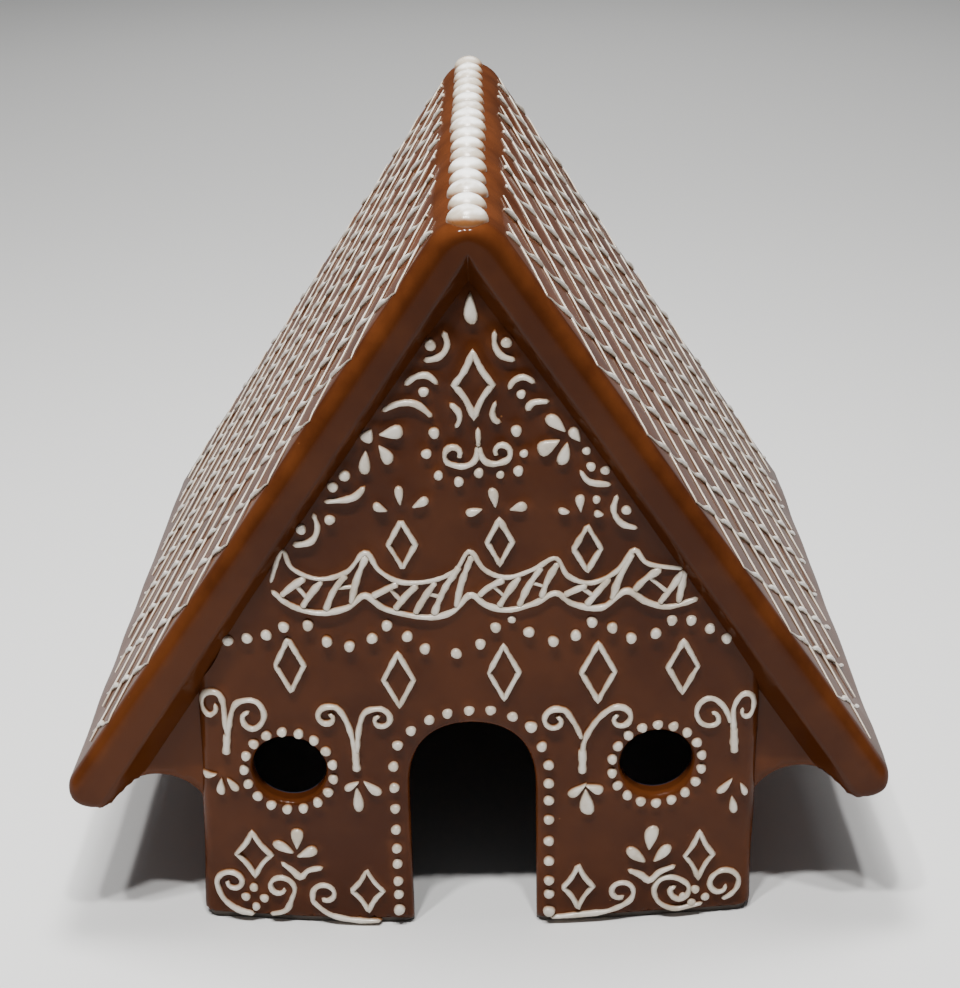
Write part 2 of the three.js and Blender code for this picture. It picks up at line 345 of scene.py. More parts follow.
def makeShadedInside():
    # the inside: painted shade, a very dark navy that stands in for the unlit inside
    material, desk, shader = newMaterial("innerShade")
    cloudy = desk.noise(24, 3, 0.6)
    base = desk.mix(desk.ramp(cloudy, 0.35, 0.7), navyShade["deep"], navyShade["pale"])
    plug(desk, shader, Base_Color=base, Roughness=desk.ramp(cloudy, 0.3, 0.7, 0.5, 0.7),
         Normal=desk.bump(cloudy, 0.3, 0.5))
    return material


def makeShadedFoot():
    # the wiped, bare-clay foot where the house stands, painted as dark as the shade beneath the wall's edge
    material, desk, shader = newMaterial("footClayInShade")
    cloudy = desk.noise(7, 4, 0.6)
    grain = desk.noise(0.7, 2, 0.6, 3.0)
    base = desk.mix(desk.ramp(cloudy + grain * 0.3, 0.4, 0.85), footTones["deep"], footTones["pale"])
    plug(desk, shader, Base_Color=base, Roughness=desk.ramp(grain, 0.3, 0.7, 0.6, 0.8),
         Normal=desk.bump(cloudy * 0.5 + grain * 0.4, 0.5, 0.3))
    return material


brownGlaze = makeBrownGlaze()
# one white glaze in three brightnesses: the gable icing's white is painted shade, the ridge beads' white is
# painted light from the lamps overhead, and the lattice's white lies between
icingGlaze = makeIcingGlaze("icingGlaze", 0.1, 0.6)
latticeGlaze = makeIcingGlaze("latticeGlaze", -0.4, 0.15, (0.74, 0.69, 0.62))
litBeadGlaze = makeIcingGlaze("litBeadGlaze", 0.02, 0.5, (0.94, 0.92, 0.87))
innerShade = makeShadedInside()
footClayInShade = makeShadedFoot()
print("finishes made")


roofSlab = {
    "ridgeThickness": 11.85,  # across the slab where the ridge's round top starts
    "rimWidth": 12.8,
    "rimRound": 6.5,
    "bevelDepth": 7.7,  # from the rim's crisp inner edge back to the gable
    "bevelDrop": 10.1,
    "bevelEnd": 11.5,
    "tipRound": 5.5,
    "cell": 1.8,
    "wave": 0.2,
    "waveSize": 42,
}
cove = {"x": 111.3, "z": 40.5, "radius": 18, "start": 96}  # the round hollow under each eave


def coveHeight(x):
    reach = np.clip(np.abs(x) - cove["x"], -cove["radius"], cove["radius"])
    arch = cove["z"] + np.sqrt(np.maximum(cove["radius"] ** 2 - reach ** 2, 0))
    return np.maximum(arch, house["eaveZ"] - eaveRadius)


def roofStations():
    # pairs of points across the slab, from the ridge down to the right tip: inner edge, outer face
    radius = house["ridgeRadius"]
    tangent = math.pi / 2 - house["pitch"]
    centre = np.array([0, ridgeCentre])
    outerTop = centre + radius * slopeOut
    innerTop = outerTop - roofSlab["ridgeThickness"] * slopeOut
    apex = np.array([0, house["innerApex"]])
    inner, outer, turn = [], [], []
    for t in np.linspace(0, 1, 8)[:-1]:
        angle = math.pi / 2 + (tangent - math.pi / 2) * t
        outer.append(centre + radius * np.array([math.cos(angle), math.sin(angle)]))
        inner.append(apex + (innerTop - apex) * t)
        turn.append(0)
    outerEnd = eaveCentre + eaveRadius * slopeOut
    innerEnd = eaveCentre - eaveRadius * slopeOut
    steps = int(np.linalg.norm(outerEnd - outerTop) / roofSlab["cell"])
    for t in np.linspace(0, 1, steps + 1):
        outer.append(outerTop + (outerEnd - outerTop) * t)
        inner.append(innerTop + (innerEnd - innerTop) * t)
        turn.append(0)
    for angle in np.radians(np.linspace(0, 85, 9)[1:]):
        away = slopeDown * math.sin(angle)
        outer.append(eaveCentre + eaveRadius * (slopeOut * math.cos(angle) + away))
        inner.append(eaveCentre + eaveRadius * (away - slopeOut * math.cos(angle)))
        turn.append(angle)
    return np.array(inner), np.array(outer), np.array(turn)


def slabProfile():
    # once round the slab's section: depth from the front, share across the rim, fall below its edge
    fall = roofSlab["bevelDrop"] / roofSlab["bevelDepth"]
    half = [(y, 0, y * fall) for y in (roofSlab["bevelEnd"], 9.6, 7.7, 6, 4.4, 3, 1.8, 1.1)]
    half += [(0.62, 0, 0.45), (0.3, 0.012, 0), (0.1, 0.035, 0), (0, 0.07, 0)]  # the soft inner edge
    share = roofSlab["rimRound"] / roofSlab["rimWidth"]
    half += [(0, v, 0) for v in np.linspace(0.12, 1 - share, 7)]
    for angle in np.radians(np.linspace(0, 90, 9)[1:]):
        half.append((roofSlab["rimRound"] * (1 - math.cos(angle)), 1 - share * (1 - math.sin(angle)), 0))
    flatLength = house["length"] - 2 * roofSlab["rimRound"]
    steps = int(flatLength / roofSlab["cell"])
    flat = [(roofSlab["rimRound"] + flatLength * k / steps, 1, 0) for k in range(1, steps)]
    far = [(house["length"] - y, v, drop) for y, v, drop in reversed(half)]
    inside = np.linspace(house["length"] - roofSlab["bevelEnd"], roofSlab["bevelEnd"], 8)[1:-1]
    under = [(y, 0, half[0][2]) for y in inside]
    return np.array(half + flat + far + under)


def makeRoofSlab():
    inner, outer, turn = roofStations()
    inner = np.vstack([inner[:0:-1] * [-1, 1], inner])
    outer = np.vstack([outer[:0:-1] * [-1, 1], outer])
    turn = np.concatenate([turn[:0:-1], turn])
    profile = slabProfile()
    depth, share, drop = profile.T
    size = len(profile)
    rimGap = np.minimum(depth, house["length"] - depth)
    breaks = smooth(share, 0.35, 0.85) * smooth(-rimGap, -9, -3)
    onRim = (rimGap < roofSlab["rimRound"] + 1) & (drop == 0)
    thin = np.where(onRim, 0.6 * breaks, 0.5 * smooth(-drop, -2.2, -0.6))
    rows = []
    for low, high, angle in zip(inner, outer, turn):
        room = max(0.0, low[1] - coveHeight(low[0])) if abs(low[0]) > cove["start"] else np.inf
        section = low + (high - low) * share[:, None]
        section[:, 1] -= np.minimum(drop, 0 if angle > math.pi / 2 - house["pitch"] else room)
        y = depth
        if angle > 0:
            centre = eaveCentre * [np.sign(low[0]), 1]
            inside = eaveRadius - np.linalg.norm(section - centre, axis=1)
            radius = roofSlab["tipRound"]
            rounded = quarterRound(radius, radius - np.clip(inside, 0, radius))
            moved = rimGap + (np.maximum(rimGap, rounded) - rimGap) * math.sin(angle) ** 2
            y = np.where(y < house["length"] / 2, moved, house["length"] - moved)
        rows.append(np.stack([section[:, 0], house["front"] + y, section[:, 1]], 1))
    points = np.vstack(rows)
    numbers = np.arange(len(points)).reshape(-1, size)
    faces = [face for upper, lower in zip(numbers, numbers[1:]) for face in band(upper, lower, flip=True)]
    faces += [numbers[0][::-1], numbers[-1]]
    endGap = np.minimum(points[:, 1] - house["front"], house["length"] + house["front"] - points[:, 1])
    soft = smooth(endGap, -1, 6)
    outside = smooth(np.tile(share, len(rows)), 0.6, 1)
    lift = roofSlab["wave"] * (1 + waves(points, roofSlab["waveSize"], 3)) * soft * outside
    away = np.stack([np.sign(points[:, 0]) * slopeOut[0], 0 * lift, slopeOut[1] + 0 * lift], 1)
    points = points - away * np.maximum(lift, 0)[:, None]
    return addPiece("roof_slab", points, faces, [brownGlaze], attributes={"thin": np.tile(thin, len(rows))})


walls = {
    "centre": -1.2,  # they stand a little to the left under the roof
    "halfWidth": 97,
    "corner": 5,
    "setback": 7.5,  # the gable's sides behind the rim
    "bow": 6,
    "bowTop": 235,
    "thickness": 6,
    "foot": 2,
    "footInset": 1.5,
    "lip": 1.7,
    "cell": 1.7,
    "sideTop": 58,
    "wave": 0.3,
    "lean": 0.054,
    "leanFrom": 14,
    "lipRings": (0.3, 0.8, 1.7, 2.6),
    "lipClear": 3.1,
    "hide": 4,  # how far the wall's top stays below the roof's inside apex
    "footRows": (1.9, 2.25, 3.0),
    "sharpAngle": 55,
}
door = {"x": -2, "halfWidth": 21.7, "spring": 56, "top": 81.5, "flat": 9, "shoulder": 4}
windows = [
    {"x": -64.6, "z": 63, "radius": 12.8, "dots": 17, "ring": 15.4},
    {"x": 60.9, "z": 63.8, "radius": 12.6, "dots": 18, "ring": 15.5},
]
frontHalf = -house["front"]


def setbackAt(x, z):
    across = 1 - np.minimum(1, ((x - walls["centre"]) / walls["halfWidth"]) ** 2)
    return walls["setback"] - walls["bow"] * across * np.sqrt(np.maximum(0, 1 - z / walls["bowTop"]))


def leaned(points):
    # the left side leans in towards the roof, from a slightly wider foot
    moved = points.copy()
    moved[:, 0] += walls["lean"] * (points[:, 2] - walls["leanFrom"]) * smooth(-points[:, 0], 78, 94)
    return moved


def cornerAt(x, z):
    # how far the rounded corner falls back behind the gable's face
    edge = np.where(x < 0, walls["halfWidth"] - walls["centre"] - walls["lean"] * (z - walls["leanFrom"]),
                    walls["halfWidth"] + walls["centre"])
    past = np.clip(np.abs(x) - edge + walls["corner"], 0, 0.98 * walls["corner"])
    return quarterRound(walls["corner"], past)


def turnedRound(points):
    # from the front gable to the back one
    return points * [-1, -1, 1] + [2 * walls["centre"], 0, 0]


def wallPlace(s, z, inset=0.0):
    # the unrolled wall: s runs along the face from its middle, round the corner and back along the side
    straight = walls["halfWidth"] - walls["corner"]
    side = np.sign(s)
    a = np.abs(s)
    corner = walls["corner"]
    bend = np.clip((a - straight) / corner, 0, math.pi / 2)
    x = np.minimum(a, straight) + corner * np.sin(bend) - inset * np.sin(bend)
    face = setbackAt(walls["centre"] + np.minimum(a, straight), z)
    y = face + corner * (1 - np.cos(bend)) + inset * np.cos(bend)
    past = np.maximum(0, a - straight - corner * math.pi / 2)
    total = frontHalf - walls["setback"] - corner
    y = y + past * (frontHalf - face - corner) / total
    return np.stack([walls["centre"] + side * x, y - frontHalf, z], 1)


def doorOutline():
    x, half, spring, top = door["x"] - walls["centre"], door["halfWidth"], door["spring"], door["top"]
    def bend(a, b, c, d, steps=16):
        t = np.linspace(0, 1, steps, endpoint=False)[:, None]
        a, b, c, d = map(np.array, (a, b, c, d))
        return (1 - t) ** 3 * a + 3 * t * (1 - t) ** 2 * b + 3 * t * t * (1 - t) * c + t ** 3 * d
    rise = np.stack([np.full(34, x + half), np.linspace(0, spring, 34, endpoint=False)], 1)
    high = top - door["shoulder"]
    right = bend((x + half, spring), (x + half, high), (x + door["flat"], top), (x, top))
    left = bend((x, top), (x - door["flat"], top), (x - half, high), (x - half, spring))
    fall = np.stack([np.full(35, x - half), np.linspace(spring, 0, 35)], 1)
    return np.vstack([rise, right, left, fall])


def windowOutline(window, extra=0.0):
    angles = np.linspace(0, 2 * math.pi, 56, endpoint=False)
    reach = window["radius"] + extra
    x = window["x"] - walls["centre"] + reach * np.cos(angles)
    return np.stack([x, window["z"] + reach * np.sin(angles)], 1)


def grown(outline, amount, closed):
    # the same outline, moved out sideways
    after = np.roll(outline, -1, 0) if closed else np.vstack([outline[1:], 2 * outline[-1] - outline[-2]])
    before = np.roll(outline, 1, 0) if closed else np.vstack([2 * outline[0] - outline[1], outline[:-1]])
    along = after - before
    along /= np.linalg.norm(along, axis=1)[:, None]
    return outline + amount * np.stack([along[:, 1], -along[:, 0]], 1)


def edgeDistance(points, outline, closed):
    ends = np.roll(outline, -1, 0) if closed else outline[1:]
    starts = outline if closed else outline[:-1]
    best = np.full(len(points), 1e9)
    for a, b in zip(starts, ends):
        step = b - a
        t = np.clip(((points - a) @ step) / (step @ step), 0, 1)
        best = np.minimum(best, np.linalg.norm(points - a - t[:, None] * step, axis=1))
    return best


def openingGap(points):
    # how far each point is from the nearest edge of the doorway or a window
    gap = edgeDistance(points, doorOutline(), False)
    for window in windows:
        gap = np.minimum(gap, edgeDistance(points, windowOutline(window), True))
    return gap


def insideOutline(points, outline):
    hit = np.zeros(len(points), bool)
    for a, b in zip(outline, np.roll(outline, -1, 0)):
        crosses = (a[1] > points[:, 1]) != (b[1] > points[:, 1])
        with np.errstate(divide="ignore", invalid="ignore"):
            reach = (b[0] - a[0]) * (points[:, 1] - a[1]) / (b[1] - a[1]) + a[0]
        hit ^= crosses & (points[:, 0] < reach)
    return hit


def evenly(points, spacing):
    out = []
    for a, b in zip(points, points[1:]):
        steps = max(1, int(np.linalg.norm(b - a) / spacing))
        out += [a + (b - a) * k / steps for k in range(steps)]
    return np.array(out)


def rowAt(run, z):
    return np.stack([run, 0 * run + z], 1)


def gridOf(xs, zs):
    return np.stack(np.meshgrid(xs, zs), -1).reshape(-1, 2)


def fillOutline(loops, inner, keep):
    # triangles between closed loops and loose points; keep says which of them stay
    points = [Vector(p) for loop in loops for p in loop]
    edges = []
    start = 0
    for loop in loops:
        edges += [(start + k, start + (k + 1) % len(loop)) for k in range(len(loop))]
        start += len(loop)
    points += [Vector(p) for p in inner]
    found, _, triangles, origin, _, _ = geometry.delaunay_2d_cdt(points, edges, [], 0, 1e-5, True)
    where = {old: new for new, olds in enumerate(origin) for old in olds}
    flat = np.array([tuple(p) for p in found])
    triangles = np.array(triangles)
    triangles = triangles[keep(flat[triangles].mean(1))]
    return flat, triangles, [where[k] for k in range(start)]


def makeWall(name, isFront, trail):
    # one gable with its corners and half of each side, with a closed thickness
    straight = walls["halfWidth"] - walls["corner"]
    turned = straight + walls["corner"] * math.pi / 2
    end = turned + frontHalf - walls["setback"] - walls["corner"]
    line = math.tan(house["innerPitch"])
    hidden = house["innerApex"] - walls["hide"]
    width = walls["halfWidth"]
    right, left = [], []
    for side, out in ((1, right), (-1, left)):
        shoulder = hidden - line * (width + side * walls["centre"])
        out += [(side * end, 0), (side * end, walls["sideTop"]), (side * (turned + 1.5), walls["sideTop"]),
                (side * (turned + 1.5), shoulder), (side * width, shoulder)]
    right.append((-walls["centre"], hidden))
    left.reverse()
    rim = evenly(np.array(right + left, float), walls["cell"])
    doorway = doorOutline()
    if isFront:
        first = evenly(np.array([(-end, 0), tuple(doorway[-1])]), 3)
        last = evenly(np.array([tuple(doorway[0]), (end, 0)]), 3)
        foot = [first, doorway[::-1], last[1:]]
    else:
        foot = [evenly(np.array([(-end, 0), (end, 0)]), 3)]
    outline = np.vstack([rim, np.array([(-end, 0)]), np.vstack(foot)[1:]])
    loops = [outline] + [windowOutline(window) for window in windows if isFront]

    def keep(points):
        stay = insideOutline(points, outline)
        for loop in loops[1:]:
            stay &= ~insideOutline(points, loop)
        return stay

    spacing = walls["cell"]
    rows = np.arange(spacing * 0.5, hidden, spacing * 0.87)
    grid = []
    for k, z in enumerate(rows):
        offset = spacing * (0.5 if k % 2 else 0)
        grid.append(rowAt(np.arange(-turned - 3, turned + 3, spacing) + offset, z))
    for z in np.arange(3, walls["sideTop"] - 2, 4):
        for side in (-1, 1):
            grid.append(rowAt(side * np.arange(turned + 6, end - 2, 4.5), z))
    grid = np.vstack(grid)
    grid = grid[insideOutline(grid, outline)]
    clear = edgeDistance(grid, outline, True) > 0.8
    footRows = np.vstack([rowAt(np.arange(-turned - 3, turned + 3, 2.5), z) for z in walls["footRows"]])
    footRows = footRows[insideOutline(footRows, outline) & (edgeDistance(footRows, outline, True) > 0.5)]
    rings = []
    if isFront:
        clear &= openingGap(grid) > walls["lipClear"]
        footRows = footRows[edgeDistance(footRows, doorway, False) > walls["lipClear"]]
        for window, hole in zip(windows, loops[1:]):
            clear &= ~insideOutline(grid, hole)
            rings += [windowOutline(window, reach) for reach in walls["lipRings"]]
        for reach in walls["lipRings"]:
            ring = grown(doorway, reach, False)
            rings.append(ring[ring[:, 1] > 0.7])
    grid = grid[clear & (grid[:, 1] > 3.6)]
    flat, triangles, rimIndex = fillOutline(loops, np.vstack([grid, footRows] + rings), keep)

    s, z = flat.T
    place = wallPlace(s, z)
    lipGap = openingGap(flat) if isFront else np.full(len(flat), np.inf)
    back = quarterRound(walls["lip"], walls["lip"] - np.clip(lipGap, 0, walls["lip"]))
    back += walls["footInset"] * smooth(-z, -walls["foot"] - 0.9, -walls["foot"] + 0.2)
    lift = walls["wave"] * waves(place, 36, 11 if isFront else 12) * smooth(end - np.abs(s), 0, 30)
    inward = back + lift * smooth(lipGap, 0, 6)
    gap = gaps(place, trail)
    inward -= 0.3 * np.exp(-(np.maximum(gap, 0) / 1.1) ** 2)
    bend = np.clip((np.abs(s) - straight) / walls["corner"], 0, math.pi / 2)
    inwardWay = np.stack([-np.sign(s) * np.sin(bend), np.cos(bend), 0 * s], 1)
    outerPoints = place + inwardWay * inward[:, None]
    thin = 0.62 * np.exp(-(np.maximum(gap, 0) / 1.9) ** 1.4)
    thin = np.maximum(thin, 0.75 * np.exp(-(lipGap / 1.3) ** 2))
    thin = np.maximum(thin, 0.55 * np.exp(-((np.abs(s) - straight - 3.5) / 2.5) ** 2))
    thin = np.maximum(thin, 0.45 * np.exp(-((z - 3) / 1.5) ** 2))

    # the inside, from the same edges with few points between
    coarse = gridOf(np.arange(-end + 6, end - 5, 9), np.arange(6, hidden, 9))
    coarse = coarse[insideOutline(coarse, outline) & (edgeDistance(coarse, outline, True) > 3)]
    for loop in loops[1:]:
        coarse = coarse[~insideOutline(coarse, loop) & (edgeDistance(coarse, loop, True) > 3)]
    innerFlat, innerTriangles, innerRim = fillOutline(loops, coarse, keep)
    innerPoints = wallPlace(innerFlat[:, 0], innerFlat[:, 1], walls["thickness"])
    points = [outerPoints, innerPoints]
    faces = triangles.tolist() + (innerTriangles[:, [0, 2, 1]] + len(flat)).tolist()
    # the inside faces and the inner part of each opening's lip take the painted shade
    glazed, shadedFace, footFace = range(3)
    footTop = walls["foot"] + 0.3
    # faces along the foot take the bare clay, painted dark with the shade under the wall
    kinds = [footFace if flat[corners, 1].max() < footTop else glazed for corners in triangles]
    kinds += [shadedFace] * len(innerTriangles)
    start = 0
    made = len(flat) + len(innerFlat)
    for loop in loops:
        count = len(loop)
        outside = rimIndex[start:start + count]
        inside = innerRim[start:start + count]
        strips = [outside]
        for share in (0.3, 0.65, 0.9):
            points.append(outerPoints[outside] * (1 - share) + innerPoints[inside] * share)
            strips.append(range(made, made + count))
            made += count
        strips.append([len(flat) + k for k in inside])
        isLow = np.maximum(loop[:, 1], np.roll(loop[:, 1], -1)) < 0.1
        for strip, (upper, lower) in enumerate(zip(strips, strips[1:])):
            faces += band(upper, lower)
            kinds += [footFace if low else glazed if strip < 3 else shadedFace for low in isLow]
        start += count
    points = np.vstack(points)
    thin = np.concatenate([thin, np.zeros(len(points) - len(thin))])
    if not isFront:
        points = turnedRound(points)
    piece = addPiece(name, leaned(points), faces, [brownGlaze, innerShade, footClayInShade], kinds, {"thin": thin})
    piece.data.set_sharp_from_angle(angle=math.radians(walls["sharpAngle"]))
    return piece


eaveFill = {"inset": 10.5, "hide": 6, "start": 46, "cell": 3, "leanRoom": 2.1}


def makeEaveFill(side):
    # the panel beside the wall and the hollow underside of one eave
    wallX = walls["halfWidth"] + side * walls["centre"] - (eaveFill["leanRoom"] if side < 0 else 0)
    hiddenX = wallX - eaveFill["hide"]
    first = math.acos((wallX - cove["x"]) / cove["radius"])
    last = math.asin((house["eaveZ"] - eaveRadius - cove["z"]) / cove["radius"])
    outline = [(hiddenX, eaveFill["start"]), (wallX - 0.6, eaveFill["start"])]
    for angle in np.linspace(first, last, 24):
        x = cove["x"] + cove["radius"] * math.cos(angle)
        outline.append((x, cove["z"] + cove["radius"] * math.sin(angle)))
    outline.append((eaveCentre[0], house["eaveZ"] - eaveRadius + 0.05))
    inner = eaveCentre - 2.0 * slopeOut
    top = inner - slopeDown * ((inner[0] - hiddenX) / slopeDown[0])
    outline += [tuple(inner), tuple(top)]
    loop = evenly(np.array(outline + [outline[0]]), eaveFill["cell"])
    xs = np.arange(hiddenX, eaveCentre[0], eaveFill["cell"])
    zs = np.arange(eaveFill["start"], top[1], eaveFill["cell"])
    grid = gridOf(xs, zs)
    grid = grid[insideOutline(grid, loop) & (edgeDistance(grid, loop, True) > 1.2)]
    flat, triangles, rim = fillOutline([loop], grid, lambda points: insideOutline(points, loop))
    depths = np.linspace(eaveFill["inset"], house["length"] - eaveFill["inset"], 40) + house["front"]
    points = [np.stack([side * flat[:, 0], np.full(len(flat), y), flat[:, 1]], 1) for y in depths[[0, -1]]]
    faces = triangles.tolist() + (triangles[:, ::-1] + len(flat)).tolist()
    rows = [rim]
    made = 2 * len(flat)
    for y in depths[1:-1]:
        points.append(np.stack([side * loop[:, 0], np.full(len(loop), y), loop[:, 1]], 1))
        rows.append(range(made, made + len(loop)))
        made += len(loop)
    rows.append([k + len(flat) for k in rim])
    for upper, lower in zip(rows, rows[1:]):
        faces += band(upper, lower, flip=True)
    points = np.vstack(points)
    nearEdge = np.minimum(points[:, 1] - depths[0], depths[-1] - points[:, 1])
    thin = 0.6 * np.exp(-(nearEdge / 1.5) ** 2) * (points[:, 2] < 62)
    name = "eave_panel_right" if side > 0 else "eave_panel_left"
    return addPiece(name, points, faces, [brownGlaze], attributes={"thin": thin})


pipe = {"root": -1.2, "section": [0, 28, 56, 90, 124, 152, 180], "round": 16}  # root: how deep it reaches


class Piping:
    # gathers piped lines, petals and dots drawn in x and z on a gable
    def __init__(self):
        self.points, self.faces, self.rise, self.trail = [], [], [], []

    def lay(self, x, z, out):
        y = house["front"] + setbackAt(x, z) + cornerAt(x, z) - out
        return np.stack([x, y, z], 1)

    def stroke(self, path, halfWidth=1.0, height=1.85, taper=0.75, closed=False):
        if closed:
            line = curveThrough(list(path) + [path[0]])[:-1]
            along = np.roll(line, -1, 0) - np.roll(line, 1, 0)
        else:
            line = curveThrough(path)
            along = np.gradient(line, axis=0)
        along /= np.linalg.norm(along, axis=1)[:, None]
        across = np.stack([-along[:, 1], along[:, 0]], 1)
        count = len(line)
        length = np.concatenate([[0], np.cumsum(np.linalg.norm(np.diff(line, axis=0), axis=1))])
        flat = np.pad(line, ((0, 0), (0, 1)))
        uneven = 1 + 0.12 * waves(flat, 6, 21) + 0.09 * waves(flat, 2.4, 22)
        width = halfWidth * uneven
        tall = height * (0.9 + 0.1 * uneven)
        if not closed:
            end = np.minimum(length, length[-1] - length)
            cap = np.sqrt(np.clip(1 - (1 - np.clip(end / (1.1 * halfWidth), 0, 1)) ** 2, 0.02, 1))
            slim = taper + (1 - taper) * smooth(end, 0, 6)
            width = width * cap * slim
            tall = tall * cap * (0.6 + 0.4 * slim)
        angles = np.radians(pipe["section"])
        sides = np.cos(angles)
        outs = np.sin(angles) ** 0.85
        start = sum(map(len, self.points))
        ring = len(angles) + 2
        for k in range(count):
            offsets = np.concatenate([[1], sides, [-1]]) * width[k]
            spots = line[k] + across[k] * offsets[:, None]
            out = np.concatenate([[pipe["root"]], outs * tall[k], [pipe["root"]]])
            self.points.append(self.lay(spots[:, 0], spots[:, 1], out))
            self.rise.append(np.clip(np.concatenate([[0], outs * tall[k] / height, [0]]), 0, 1))
        rows = start + np.arange(count * ring).reshape(count, ring)
        for k in range(count if closed else count - 1):
            self.faces += band(rows[k], rows[(k + 1) % count])
        if not closed:
            self.faces += [rows[0], rows[-1][::-1]]
        middle = self.lay(line[:, 0], line[:, 1], np.zeros(count))
        self.trail += [(*spot, w) for spot, w in zip(middle.tolist(), width.tolist())]

    def petal(self, narrow, broad, halfWidth, height=2.1, point=0.35):
        # a teardrop from its narrow end to its broad end; both the same makes a round dot
        narrow, broad = np.array(narrow, float), np.array(broad, float)
        length = np.linalg.norm(broad - narrow)
        along = (broad - narrow) / length if length > 0.01 else np.array([0.0, 1.0])
        across = np.array([-along[1], along[0]])
        centre = (narrow + broad) / 2
        half = length / 2 + halfWidth * 0.55 if length > 0.01 else halfWidth
        count = pipe["round"]
        angles = np.linspace(0, 2 * math.pi, count, endpoint=False)
        shape = np.cos(angles)
        width = np.sin(angles) * ((1 + shape * (1 - point)) / (2 - point) * 1.25 if length > 0.01 else 1)
        jitter = 1 + 0.05 * np.sin(2 * angles + centre[0]) + 0.04 * np.sin(3 * angles + centre[1])
        edge = along * (shape * half * jitter)[:, None] + across * (width * halfWidth * jitter)[:, None]
        start = sum(map(len, self.points))
        levels = ((1, pipe["root"] / height), (1, 0.15), (0.93, 0.55), (0.75, 0.85), (0.45, 0.97), (0.15, 1))
        for reach, out in levels:
            spots = centre + edge * reach
            self.points.append(self.lay(spots[:, 0], spots[:, 1], np.full(count, out * height)))
            self.rise.append(np.full(count, max(0, out)))
        rows = start + np.arange(len(levels) * count).reshape(-1, count)
        for upper, lower in zip(rows, rows[1:]):
            self.faces += band(upper, lower, flip=True)
        self.faces += [rows[-1], rows[0][::-1]]
        for t in np.linspace(-0.7, 0.7, 5):
            spot = centre + along * half * t
            place = self.lay(spot[:1], spot[1:], np.zeros(1))[0]
            self.trail.append((*place, halfWidth * 0.8))

    def dot(self, x, z, radius=2.0):
        self.petal((x, z), (x, z), 0.93 * radius, 1.05 * radius)

    def build(self, name, isBack=False):
        points = np.vstack(self.points)
        if isBack:
            points = turnedRound(points)
        rise = np.concatenate(self.rise)
        return addPiece(name, points, self.faces, [icingGlaze], attributes={"rise": rise})


def curl(x, z, radius, start, turn, lead=(), wide=1.0, tight=0.26):
    # a line that runs in along lead and winds up round x, z; angles in degrees
    steps = max(6, int(abs(turn) / 35))
    t = np.linspace(0, 1, steps)
    angle = np.radians(start + turn * t)
    reach = radius * (1 - (1 - tight) * t ** 0.85)
    wind = np.stack([x + wide * reach * np.cos(angle), z + reach * np.sin(angle)], 1)
    return list(lead) + [tuple(spot) for spot in wind]


def starDiamond(x, z, halfWidth, halfHeight):
    # four points joined by sides that curve in a little
    out = []
    for k in range(4):
        a, b = k * math.pi / 2, (k + 1) * math.pi / 2
        for t in (0, 0.12, 0.5, 0.88):
            u, v = math.cos(a) * (1 - t) + math.cos(b) * t, math.sin(a) * (1 - t) + math.sin(b) * t
            pull = 1 - 0.5 * t * (1 - t)
            out.append((x + halfWidth * u * pull, z + halfHeight * v * pull))
    return out


motifs = {
    "swag": [(-82, 113), (-75.5, 114), (-69, 115.3), (-63, 118.3), (-55, 119), (-49, 113), (-41.6, 111.3),
             (-34, 114.3), (-29, 119), (-22.4, 115), (-16.7, 110.4), (-6.4, 108.6), (1.6, 112), (6.7, 118),
             (12, 120.7), (17.6, 116), (25.6, 112.3), (33, 114.3), (38.3, 119), (45, 116.7), (51.3, 112.6),
             (59.4, 114), (64.6, 118.7), (71, 118.4), (77.3, 115), (83, 111)],
    "diamonds": [(-61.9, 104, 4.8, 9.8), (-25.8, 98.8, 5, 10), (9.2, 101.2, 5, 10),
                 (40.5, 100.3, 5.6, 10.8), (68.8, 101.1, 5, 9.8), (-23.1, 148.1, 4.4, 8.2),
                 (8.4, 148.6, 4.1, 7.8), (36.6, 145.5, 4.4, 8)],
    "stars": [(-79, 28.6, 6.2, 9.2), (-39.6, 14.6, 5.6, 8.6), (34.2, 15.2, 5.3, 8.8), (76.5, 25.8, 5, 9.8)],
    "bigDiamond": (0.9, 202, 6, 10.6),
    "door": [(-27, 73.7), (-22.3, 79.4), (-16, 83.6), (-9.9, 86), (-2.6, 87), (4.6, 87), (11.9, 84.4),
             (18.1, 80.3), (21.7, 72.4)],
    "doorLeft": [65.4, 57, 48.6, 40.1, 32.4, 26.1, 18.9, 13.4, 6.9],
    "doorRight": [65.1, 57.9, 51.1, 43.3, 34.6, 26.4, 18.3, 12.7, 5.4],
}

